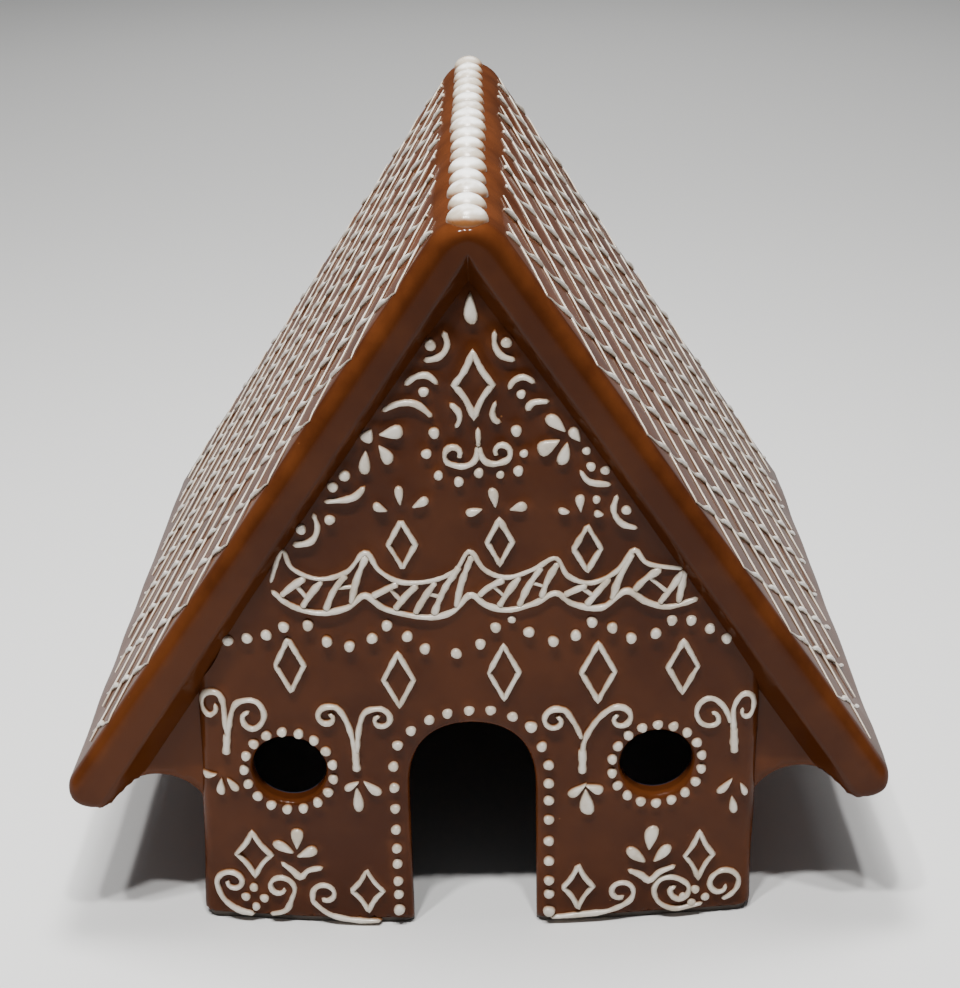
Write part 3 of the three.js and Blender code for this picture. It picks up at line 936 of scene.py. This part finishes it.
scrolls = [
    # tall scrolls beside the windows, each a stem with two curls
    [(-85.8, 69.6), (-84.7, 76.3), (-83.1, 84.1), (-81, 88.9), (-76.8, 90.5), (-73.5, 89.5), (-71.7, 85.6),
     (-72.7, 81.7), (-75.6, 79.3), (-78.5, 80.8), (-79, 84.3), (-76.4, 86.2)],
    [(-84.7, 76), (-85.2, 81), (-85.3, 88.7), (-86.5, 92.4), (-88.9, 93.4), (-91.6, 92.2), (-93, 89),
     (-92.4, 85.8), (-90.2, 84.3), (-88, 86.2), (-88.2, 89)],
    curl(-50.2, 84.4, 4.3, 70, 385, [(-41.3, 63.6), (-41.5, 70), (-42.4, 77), (-44.2, 83.5), (-46.6, 87.6)]),
    curl(-32.5, 83.6, 4.3, 100, -390, [(-40.9, 70), (-40, 79), (-37.8, 86)]),
    curl(26.2, 82.3, 5.0, 50, 400, [(35.4, 74.5), (33.2, 80), (30.4, 85)]),
    curl(48, 82.3, 5.0, 130, -400, [(35.4, 61.7), (35.5, 69), (36.4, 75), (40.3, 82)]),
    [(85.9, 78), (84.6, 81.8), (82.9, 85.2), (80.1, 88), (77.2, 88.5), (74.7, 86.4), (73.9, 82.9),
     (75.4, 79.3), (78.5, 77.9), (81.3, 79), (80.9, 82), (78.6, 83.4)],
    [(87.4, 66.8), (86.9, 72.9), (86.6, 78.9), (86.4, 83.7), (87.7, 87.5), (89.9, 89.6), (92.3, 88.8),
     (93.4, 85.8), (93, 82.5), (91.4, 80.6), (89.4, 81.7), (89.6, 84.4)],
    # the row along the foot
    curl(-87.4, 16.4, 5.4, 190, -400, [(-80, 3.2), (-86, 4.6), (-91, 9)], wide=1.05),
    curl(-70.6, 15, 5.9, -45, 410, [(-75, 3.4), (-69, 5.4)]),
    curl(-54.6, 12.8, 4.7, 195, -330, [(-35, 1.9), (-44, 2), (-52.9, 4), (-58.6, 9)], tight=0.5),
    curl(49.2, 12.4, 4.7, -20, 330, [(24, 2.8), (34, 3.4), (44.3, 4.4), (51.5, 7.6)], tight=0.5),
    [(78.8, 5.4), (73.4, 4.5), (67.9, 3.9), (62.9, 6.8), (61, 12), (62.7, 16.2), (66.3, 17.4), (70, 16.1),
     (73.1, 13.2), (72.9, 9.3), (70.2, 7.6), (67.4, 9.3), (66.8, 12.3), (69.2, 13.2)],
    [(84.9, 6.3), (88.5, 8.2), (90.8, 11.6), (90.7, 15.3), (88.1, 18.1), (84.5, 18.5), (81.5, 16.1),
     (80.8, 12.6), (83, 9.8), (85.8, 10.1), (86.6, 12.7)],
    # two curls under the big diamond
    curl(-5.6, 179, 3.5, 240, -300, [(2, 182), (1, 177), (-2.6, 174.9)], tight=0.45),
    curl(9.2, 179.6, 3.4, 300, 300, [(2.2, 182), (3.4, 177.4), (6.4, 175.6)], tight=0.45),
]

lines = [
    [(-69.7, 25.7), (-66, 22.6), (-62.9, 19.7), (-60, 22.6), (-54.6, 23.9)],
    [(51.4, 21.4), (56, 19), (59.3, 16.4), (63, 19.8), (68.6, 21.9)],
    [(-8, 219.5), (-6.9, 214.8), (-9.4, 211.2), (-14.6, 210)],
    [(7.8, 219.5), (7.7, 214.6), (9.8, 211.2), (14.3, 209.6)],
    [(-20.7, 202), (-17, 204.8), (-13.2, 205.2), (-9.9, 202.1)],
    [(11.7, 200), (13.4, 203), (16.6, 204.2), (20.4, 202.1)],
    [(-27.9, 193.6), (-22.4, 196.2), (-16.8, 195.8), (-11.9, 191.4)],
    [(17.1, 192.9), (19.4, 195.8), (24.7, 196.1)],
    [(-6.7, 196.2), (-4, 193.2), (-3.7, 190.2), (-5.2, 187.6)],
    [(7.9, 196.6), (6.7, 193.2), (7.3, 190.4), (9.5, 189.3)],
    [(-34, 168.5), (-38.4, 164.4), (-47.6, 163.1)],
    [(34, 172.9), (37.1, 168.8), (44.3, 167.6)],
    [(-51.1, 159.3), (-50, 153.8), (-52.4, 149.2), (-58.6, 147.9)],
    [(46.1, 164.3), (44.9, 158.6), (47.6, 154), (52.9, 152.1)],
    [(2.1, 188), (2.1, 184), (2.1, 181)],
]

petals = [  # narrow end, broad end, half width
    ((-90.4, 60.8), (-94, 60.2), 1.4), ((-88.2, 58.4), (-88.8, 53.6), 1.8),
    ((-85.8, 58.8), (-83, 55.2), 1.6), ((-41.4, 58.8), (-45, 56.6), 1.6), ((-41.6, 56), (-41, 48.6), 2.3),
    ((-38.3, 58.6), (-34.4, 55), 2.1), ((36, 56.6), (31.6, 53), 1.9), ((36.6, 54), (37.2, 46), 2.9),
    ((37.6, 56.2), (41.6, 54.4), 2.1), ((86.6, 55.6), (82.8, 51.2), 1.6), ((87.4, 48.4), (88, 43.2), 1.8),
    ((90.2, 53.6), (92, 50), 1.4), ((-63.6, 32.6), (-63, 38.6), 2.5), ((-65.8, 30.4), (-70.6, 33.4), 2.2),
    ((-62.6, 28.8), (-57.6, 31.2), 2.2), ((59, 30.6), (59.8, 37.4), 3.0), ((57.2, 24.8), (52, 29.4), 2.4),
    ((61.2, 25.2), (65.4, 29.4), 2.4), ((-27.6, 186.2), (-22.6, 186.8), 2.6),
    ((-28.6, 181.4), (-26, 177.2), 2.3), ((-33.6, 179.6), (-34, 173.6), 2.2),
    ((-31.8, 186.6), (-33.2, 184.6), 2.4), ((28.6, 187), (24.8, 190.4), 2.5),
    ((26.6, 182.6), (21.8, 180), 2.8), ((29.9, 181.4), (28.5, 175.8), 2.3),
    ((33.4, 183.6), (31.8, 186), 2.2), ((-28.2, 160.3), (-31, 161.6), 1.7),
    ((-23.2, 162.8), (-23.5, 167.4), 1.8), ((-18.4, 161.6), (-15, 163.6), 1.8),
    ((2.2, 159.9), (-1.4, 159), 1.7), ((7.1, 161.6), (6.5, 166.4), 2.0),
    ((12.8, 160.2), (16.2, 161.1), 2.0), ((30.4, 158.7), (27.8, 159.2), 1.3),
    ((34.4, 159.4), (34, 163.6), 1.8), ((41, 157.6), (39.4, 157.8), 1.4), ((0.4, 230), (0.4, 222.8), 2.6),
]

dots = [
    (-79.9, 14.6, 1.8), (-83, 10.5, 1.8), (-76.4, 10.2, 1.8), (-79.6, 6.4, 1.7),
    (75.6, 11.4, 1.8), (71.2, 8.8, 1.5), (79.3, 7.9, 1.7), (74.4, 6, 1.7),
    (-12.1, 215, 2), (11.3, 215.4, 1.9), (-14.6, 199.9, 1.8), (15.7, 198.6, 1.6),
    (-11.7, 186.3, 2), (-14.3, 179.3, 1.8), (-10.7, 171.9, 1.7), (-4.3, 169.7, 1.8), (2.1, 172.6, 1.8),
    (8.9, 171.9, 1.5), (14.6, 173.1, 1.9), (16.4, 178.9, 1.5), (14.1, 186.6, 2),
    (-40.4, 172.1, 2), (-44.4, 168.3, 1.9), (-45.9, 156.9, 1.9), (-55.3, 153.6, 1.9),
    (36.1, 179.3, 1.5), (37.6, 174, 1.7), (42.1, 172.6, 1.7), (49, 158.7, 1.8), (39.4, 162.6, 1.5),
]

garland = {
    "upper": [(-66.5, 134), (-62, 146), (-59, 139.6), (-50.7, 135.9), (-41.5, 138.2), (-35, 145.2),
              (-30.7, 138.8), (-23.6, 134.6), (-13.6, 135.2), (-6, 138.8), (-1.4, 145.4), (3.4, 138.8),
              (10.7, 135.9), (19.6, 138.8), (26.4, 142.4), (30.4, 135.9), (38, 133.2), (46.2, 137.1),
              (51.7, 144.4), (56.4, 139.4), (68, 137.1)],
    "lower": [(-66.5, 131.8), (-60, 126.2), (-51, 123.6), (-41.5, 125.6), (-35.7, 130), (-29, 125),
              (-15.6, 122), (-7, 124.2), (-1.4, 130), (3.8, 126.2), (11, 124.3), (19.8, 126.6),
              (26.4, 130), (32.2, 125.8), (41.6, 124.3), (49.3, 130), (56, 125.8), (63.6, 123.7),
              (73.4, 126.4)],
    "joints": [-66, -35.5, -1.4, 26.4, 50.5, 72],
    "ribs": [4, 5, 4, 3, 3],
    "lean": 8.5,
}


def pipeGarland(piping):
    upper, lower = curveThrough(garland["upper"]), curveThrough(garland["lower"])
    piping.stroke(garland["upper"], 0.85, 1.3)
    piping.stroke(garland["lower"], 1.05)
    rng = np.random.default_rng(5)
    for start, end, count in zip(garland["joints"], garland["joints"][1:], garland["ribs"]):
        step = (end - start) / count
        last = None
        for k in range(count):
            foot = start + step * (k + 0.25) + rng.uniform(-0.7, 0.7)
            head = min(foot + garland["lean"] + rng.uniform(-1, 1), end + 1, 68.5)
            low = np.interp(foot, lower[:, 0], lower[:, 1])
            high = np.interp(head, upper[:, 0], upper[:, 1])
            middle = (foot + 0.45 * (head - foot) + rng.uniform(-0.7, 0.7), (low + high) / 2)
            piping.stroke([(foot, low + 0.3), middle, (head, high - 0.3)], 1.2, 1.75, 1.0)
            if last is not None and k % 2:
                link = [(last[0] + 0.8, last[1] + 1.6), (middle[0] - 0.6, middle[1] - 2.4)]
                piping.stroke(link, 0.8, 1.2, 1.0)
            last = middle


stems = [[(-84.9, 77.5), (-85.3, 73), (-85.9, 68.4)], [(-41.4, 72), (-41.4, 67), (-41.2, 62.8)],
         [(35.4, 71.5), (35.5, 66), (35.4, 60.8)], [(86.9, 77), (87.1, 71), (87.5, 66)]]


def pipeGable(piping, isFront):
    for x, z in motifs["swag"]:
        piping.dot(x, z, 1.5 if x == 12 else 2.05)
    for x, z, halfWidth, halfHeight in motifs["diamonds"]:
        piping.stroke(diamondPath(x, z, halfWidth, halfHeight), 0.95, closed=True)
    for star in motifs["stars"]:
        piping.stroke(starDiamond(*star), 0.95, closed=True)
    piping.stroke(starDiamond(*motifs["bigDiamond"]), 1.1, closed=True)
    for path in scrolls:
        piping.stroke(path, 1.05)
    for path in lines:
        piping.stroke(path, 1.15)
    for path in stems:
        piping.stroke(path, 1.5, taper=1.0)
    for narrow, broad, halfWidth in petals:
        piping.petal(narrow, broad, halfWidth)
    for x, z, radius in dots:
        piping.dot(x, z, radius)
    pipeGarland(piping)
    if isFront:
        for x, z in motifs["door"]:
            piping.dot(x, z, 2.3 if x == 18.1 else 2.0)
        for heights, x in ((motifs["doorLeft"], -28.7), (motifs["doorRight"], 24)):
            for z in heights:
                piping.dot(x, z, 2.0 if z > 8 else 2.3)
        for window in windows:
            for k in range(window["dots"]):
                angle = 2 * math.pi * (k + 0.5) / window["dots"]
                x = window["x"] + window["ring"] * math.cos(angle)
                piping.dot(x, window["z"] + window["ring"] * math.sin(angle), 1.95)
    return piping


def diamondPath(x, z, halfWidth, halfHeight):
    # straight sides with a point close to each corner, so that the corners stay sharp
    corners = [(halfWidth, 0), (0, halfHeight), (-halfWidth, 0), (0, -halfHeight)]
    out = []
    for (a, b), (c, d) in zip(corners, corners[1:] + corners[:1]):
        out += [(x + a, z + b), (x + a * 0.86 + c * 0.14, z + b * 0.86 + d * 0.14),
                (x + a * 0.14 + c * 0.86, z + b * 0.14 + d * 0.86)]
    return out


frontPiping = pipeGable(Piping(), True)
backPiping = pipeGable(Piping(), False)
frontIcing = frontPiping.build("front_icing")
backIcing = backPiping.build("back_icing", isBack=True)
print("gable icing piped:", len(frontIcing.data.vertices), "points")


lattice = {
    "pitch": {1: 28.5, -1: 25.8},  # between strands along the rim, on the right and on the left
    "first": {1: 42, -1: 39},  # where the first corner meets the rim, below the sharp apex
    "top": 20,  # bare strip below the apex
    "bottom": -1,
    "rim": 5.2,
    "thick": 1.05,
    "slim": 0.34,
    "step": 1.9,
    "sides": 8,
}
slopeLength = house["eaveX"] / slopeDown[0]


def slopePlace(side, u, v, out):
    # u back from the front, v down the slope from the sharp apex, out from the glaze
    u, v, out = map(np.asarray, (u, v, out))
    radius = roofSlab["rimRound"]
    into = np.clip(radius - u, 0, radius)
    beyond = np.clip(u - (house["length"] - radius), 0, radius)
    level = out - quarterRound(radius, np.maximum(into, beyond))
    x = v * slopeDown[0] + level * slopeOut[0]
    z = outerApex + v * slopeDown[1] + level * slopeOut[1]
    return np.stack([side * x, house["front"] + u, z], -1)


def strandTracks(side):
    # each strand as points and girth; the thick ones run down and back, the slim ones up and back
    tracks = []
    pitch = lattice["pitch"][side]
    crossings = round((house["length"] - 2 * lattice["rim"]) / (pitch / 2))
    rim = (house["length"] - crossings * pitch / 2) / 2
    reach = int((house["length"] + slopeLength) / pitch) + 2
    for k in range(-reach, reach):
        rng = np.random.default_rng(1000 + 2 * k + side)
        shift = rng.uniform(-1.3, 1.3)
        for isThick in (True, False):
            sway = rng.uniform(24, 36), rng.uniform(0, 6)
            u = np.arange(rim, house["length"] - rim + 0.1, lattice["step"])
            along = u - rim
            v = lattice["first"][side] + k * pitch + shift + along * (1 if isThick else -1)
            v = v + 0.9 * np.sin(u / sway[0] + sway[1]) * smooth(along, 0, 12)
            cross = (2 * along / pitch) % 1  # 0 where another strand crosses
            if isThick:
                swell = 0.62 * smooth(cross, 0.15, 0.75) * smooth(-cross, -1.0, -0.88)
                girth = lattice["thick"] * (0.34 + swell)
                v = v + 1.0 * np.sin(2 * math.pi * cross) * smooth(along, 0, 10)
                out = 0.1 - 0.3 * girth + 0.2 * smooth(cross, 0.3, 0.8)
            else:
                girth = lattice["slim"] * (1 + 0.12 * np.cos(2 * math.pi * cross))
                v = v - 0.4 * np.sin(2 * math.pi * cross)
                out = 0.1 + 0 * u
            stay = (v > lattice["top"] + rng.uniform(-1.5, 1.5)) & (v < slopeLength - lattice["bottom"])
            if stay.sum() < 3:
                continue
            u, v, girth, out = u[stay], v[stay], girth[stay], out[stay]
            count = len(u)
            ends = np.minimum(np.arange(count), np.arange(count)[::-1]) * lattice["step"]
            girth = girth * (0.6 + 0.4 * smooth(ends, -1, 4)) * (1 + 0.08 * np.sin(u * 0.9 + 3 * shift))
            tracks.append((slopePlace(side, u, v, out), girth))
    return tracks


def newTree(name, entries):
    # a geometry tree with these named inputs: its desk, what flows in, its inputs and their identifiers
    tree = bpy.data.node_groups.new(name, "GeometryNodeTree")
    sockets = tree.interface
    sockets.new_socket("Geometry", in_out="INPUT", socket_type="NodeSocketGeometry")
    sockets.new_socket("Geometry", in_out="OUTPUT", socket_type="NodeSocketGeometry")
    keys = {}
    for label, kind in entries.items():
        keys[label] = sockets.new_socket(label, in_out="INPUT", socket_type="NodeSocket" + kind).identifier
    desk = Desk(tree)
    given = desk.node("NodeGroupInput")
    entry = {label: Wire(desk, given.socket.node.outputs[label]) for label in keys}
    return desk, given, entry, keys


def endTree(desk, shape, surface):
    whole = desk.node("GeometryNodeRealizeInstances", {}, {"Geometry": shape})
    done = desk.node("GeometryNodeSetMaterial", {}, {"Geometry": whole, "Material": surface})
    leave = desk.tree.nodes.new("NodeGroupOutput")
    desk.tree.links.new(done.socket, leave.inputs[0])


def strandTree():
    # a tube along every strand, as thick as its girth says
    desk, given, entry, keys = newTree("latticeStrands", {"Sides": "Int", "Surface": "Material"})
    girth = desk.node("GeometryNodeInputNamedAttribute", {"data_type": "FLOAT"}, {"Name": "girth"})
    curve = desk.node("GeometryNodeMeshToCurve", {}, {"Mesh": given})
    circle = desk.node("GeometryNodeCurvePrimitiveCircle", {"mode": "RADIUS"}, {
        "Resolution": entry["Sides"], "Radius": mm})
    tube = desk.node("GeometryNodeCurveToMesh", {}, {
        "Curve": curve, "Profile Curve": circle, "Scale": girth, "Fill Caps": True})
    endTree(desk, tube, entry["Surface"])
    return desk.tree, keys


def grownByNodes(piece, tree, settings):
    # runs the tree once and keeps its result as a plain mesh
    modifier = piece.modifiers.new("shape", "NODES")
    modifier.node_group = tree
    for identifier, value in settings.items():
        modifier[identifier] = value
    bpy.context.view_layer.update()
    evaluated = piece.evaluated_get(bpy.context.evaluated_depsgraph_get())
    mesh = bpy.data.meshes.new_from_object(evaluated)
    for polygon in mesh.polygons:
        polygon.use_smooth = True
    piece.modifiers.remove(modifier)
    piece.data = mesh


def makeLattice(side, tree, keys):
    points, edges, girths = [], [], []
    for track, girth in strandTracks(side):
        start = len(girths)
        points += track.tolist()
        girths += girth.tolist()
        edges += [(start + k, start + k + 1) for k in range(len(track) - 1)]
    piece = addMesh("roof_lattice_right" if side > 0 else "roof_lattice_left", points, edges)
    setAttribute(piece, "girth", girths)
    grownByNodes(piece, tree, {keys["Sides"]: lattice["sides"], keys["Surface"]: latticeGlaze})
    spots = meshPoints(piece)
    level = np.abs(spots[:, 0]) * slopeOut[0] + (spots[:, 2] - outerApex) * slopeOut[1]
    setAttribute(piece, "rise", np.clip(level / 1.2, 0, 1))
    trail = [(*point, girth) for point, girth in zip(points, girths)]
    return piece, trail


beads = {"count": 17, "halfWidth": 6.4, "halfLength": 7.6, "height": 5.2, "endGap": 9.5, "sink": 1.9,
         "drift": 1.2, "turn": 0.12, "tilt": -0.16, "uneven": 0.06, "seed": 4}


def beadTree():
    # domed beads in a row along the ridge, each a little different
    desk, given, entry, keys = newTree("ridgeBeads", {
        "Size": "Vector", "Uneven": "Float", "Seed": "Int", "Surface": "Material"})
    ball = desk.node("GeometryNodeMeshUVSphere", {}, {"Segments": 28, "Rings": 18, "Radius": 1.0})
    shaped = desk.node("GeometryNodeTransform", {}, {"Geometry": ball, "Scale": entry["Size"]})
    scale = desk.node("FunctionNodeRandomValue", {"data_type": "FLOAT"}, {
        2: 1 - entry["Uneven"], 3: 1 + entry["Uneven"], "Seed": entry["Seed"]}, 1)
    turn = desk.node("FunctionNodeRandomValue", {"data_type": "FLOAT"}, {
        2: -beads["turn"], 3: beads["turn"], "Seed": entry["Seed"] + 1}, 1)
    tilt = desk.node("ShaderNodeCombineXYZ", {}, {0: beads["tilt"], 1: turn * 0.7, 2: turn})
    placed = desk.node("GeometryNodeInstanceOnPoints", {}, {
        "Points": given, "Instance": shaped, "Rotation": tilt, "Scale": scale})
    endTree(desk, placed, entry["Surface"])
    return desk.tree, keys


def makeBeads():
    tree, keys = beadTree()
    pitch = (house["length"] - 2 * beads["endGap"]) / (beads["count"] - 1)
    places = [(-beads["drift"] * k / beads["count"], house["front"] + beads["endGap"] + pitch * k,
               ridgeTop - beads["sink"]) for k in range(beads["count"])]
    piece = addMesh("ridge_beads", places)
    size = [beads["halfWidth"] * mm, beads["halfLength"] * mm, beads["height"] * mm]
    grownByNodes(piece, tree, {keys["Size"]: size, keys["Uneven"]: beads["uneven"],
                               keys["Seed"]: beads["seed"], keys["Surface"]: litBeadGlaze})
    spots = meshPoints(piece)
    radial = np.hypot(spots[:, 0], spots[:, 2] - ridgeCentre) - house["ridgeRadius"]
    setAttribute(piece, "rise", np.clip(radial / (beads["height"] - beads["sink"]), 0, 1))
    return piece


latticeRight, rightTrail = makeLattice(1, *strandTree())
latticeLeft, leftTrail = makeLattice(-1, *strandTree())
ridgeBeads = makeBeads()
print("lattice and ridge beads made:", len(latticeRight.data.polygons), "faces a side")

roof = makeRoofSlab()
slabPoints = meshPoints(roof)
gap = gaps(slabPoints, rightTrail + leftTrail)
thinRim = np.zeros(len(slabPoints))
roof.data.attributes["thin"].data.foreach_get("value", thinRim)
halo = 0.16 * np.exp(-(np.maximum(gap, 0) / 0.8) ** 2)
setAttribute(roof, "thin", np.maximum(thinRim, halo))
print("roof slab made:", len(roof.data.polygons), "faces")

frontWall = makeWall("front_wall", True, frontPiping.trail)
backWall = makeWall("back_wall", False, backPiping.trail)
panels = [makeEaveFill(side) for side in (-1, 1)]
print("walls made:", len(frontWall.data.polygons), "faces in front")

pieces = [roof, frontWall, backWall, *panels, frontIcing, backIcing, latticeLeft, latticeRight, ridgeBeads]
for piece in pieces:
    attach(piece, "root")
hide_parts(shellNode)


studio = {"floor": (0.74, 0.735, 0.72), "floorHalf": 3000, "world": (0.62, 0.64, 0.66), "worldStrength": 0.2}


def makeStage():
    half = studio["floorHalf"]
    floor = addMesh("floor", [(-half, -half, 0), (half, -half, 0), (half, half, 0), (-half, half, 0)],
                    faces=[[0, 1, 2, 3]])
    material, desk, shader = newMaterial("paleFloor")
    plug(desk, shader, Base_Color=(*studio["floor"], 1), Roughness=0.5)
    floor.data.materials.append(material)
    world = bpy.data.worlds.new("studio")
    bpy.context.scene.world = world
    world.use_nodes = True
    background = world.node_tree.nodes["Background"]
    background.inputs["Color"].default_value = (*studio["world"], 1)
    background.inputs["Strength"].default_value = studio["worldStrength"]


overhead = {"aim": (0, 0, 0.1), "size": 0.07, "power": 12.5}
lamps = {
    "overheadLeft": {"place": (-0.40, -0.60, 1.5), **overhead},
    "overheadMiddle": {"place": (-0.16, -0.60, 1.5), **overhead},
    "overheadRight": {"place": (0.15, -0.60, 1.5), **overhead},
    "ridgeLight": {"place": (-0.03, -0.05, 0.85), "aim": (0, 0, 0), "size": 0.2, "power": 8},
    "floorLight": {"place": (0, 1.5, 1.3), "aim": (0, 1.1, 0), "size": 1.0, "power": 11},
}


def makeLamps():
    for name, lamp in lamps.items():
        data = bpy.data.lights.new(name, "AREA")
        data.size = lamp["size"]
        data.energy = lamp["power"]
        light = addObject(name, data)
        light.location = lamp["place"]
        toward = Vector(lamp["aim"]) - Vector(lamp["place"])
        light.rotation_euler = toward.to_track_quat("-Z", "Y").to_euler()


view = {"place": (0.0064, -0.6498, 0.3956), "down": 23.88, "turn": -0.445, "roll": -1.053, "lens": 67.15}


def makeCamera():
    down, turn, roll = (math.radians(view[key]) for key in ("down", "turn", "roll"))
    level = Vector((math.cos(turn), -math.sin(turn), 0))
    forward = Vector((math.sin(turn) * math.cos(down), math.cos(turn) * math.cos(down), -math.sin(down)))
    upright = level.cross(forward)
    right = math.cos(roll) * level + math.sin(roll) * upright
    up = -math.sin(roll) * level + math.cos(roll) * upright
    data = bpy.data.cameras.new("camera")
    data.lens = view["lens"]
    data.sensor_width = 36
    data.sensor_fit = "HORIZONTAL"
    camera = addObject("camera", data)
    turned = Matrix((right, up, -forward)).transposed().to_4x4()
    camera.matrix_world = Matrix.Translation(view["place"]) @ turned
    bpy.context.scene.camera = camera


makeStage()
makeLamps()
makeCamera()
print("stage set")
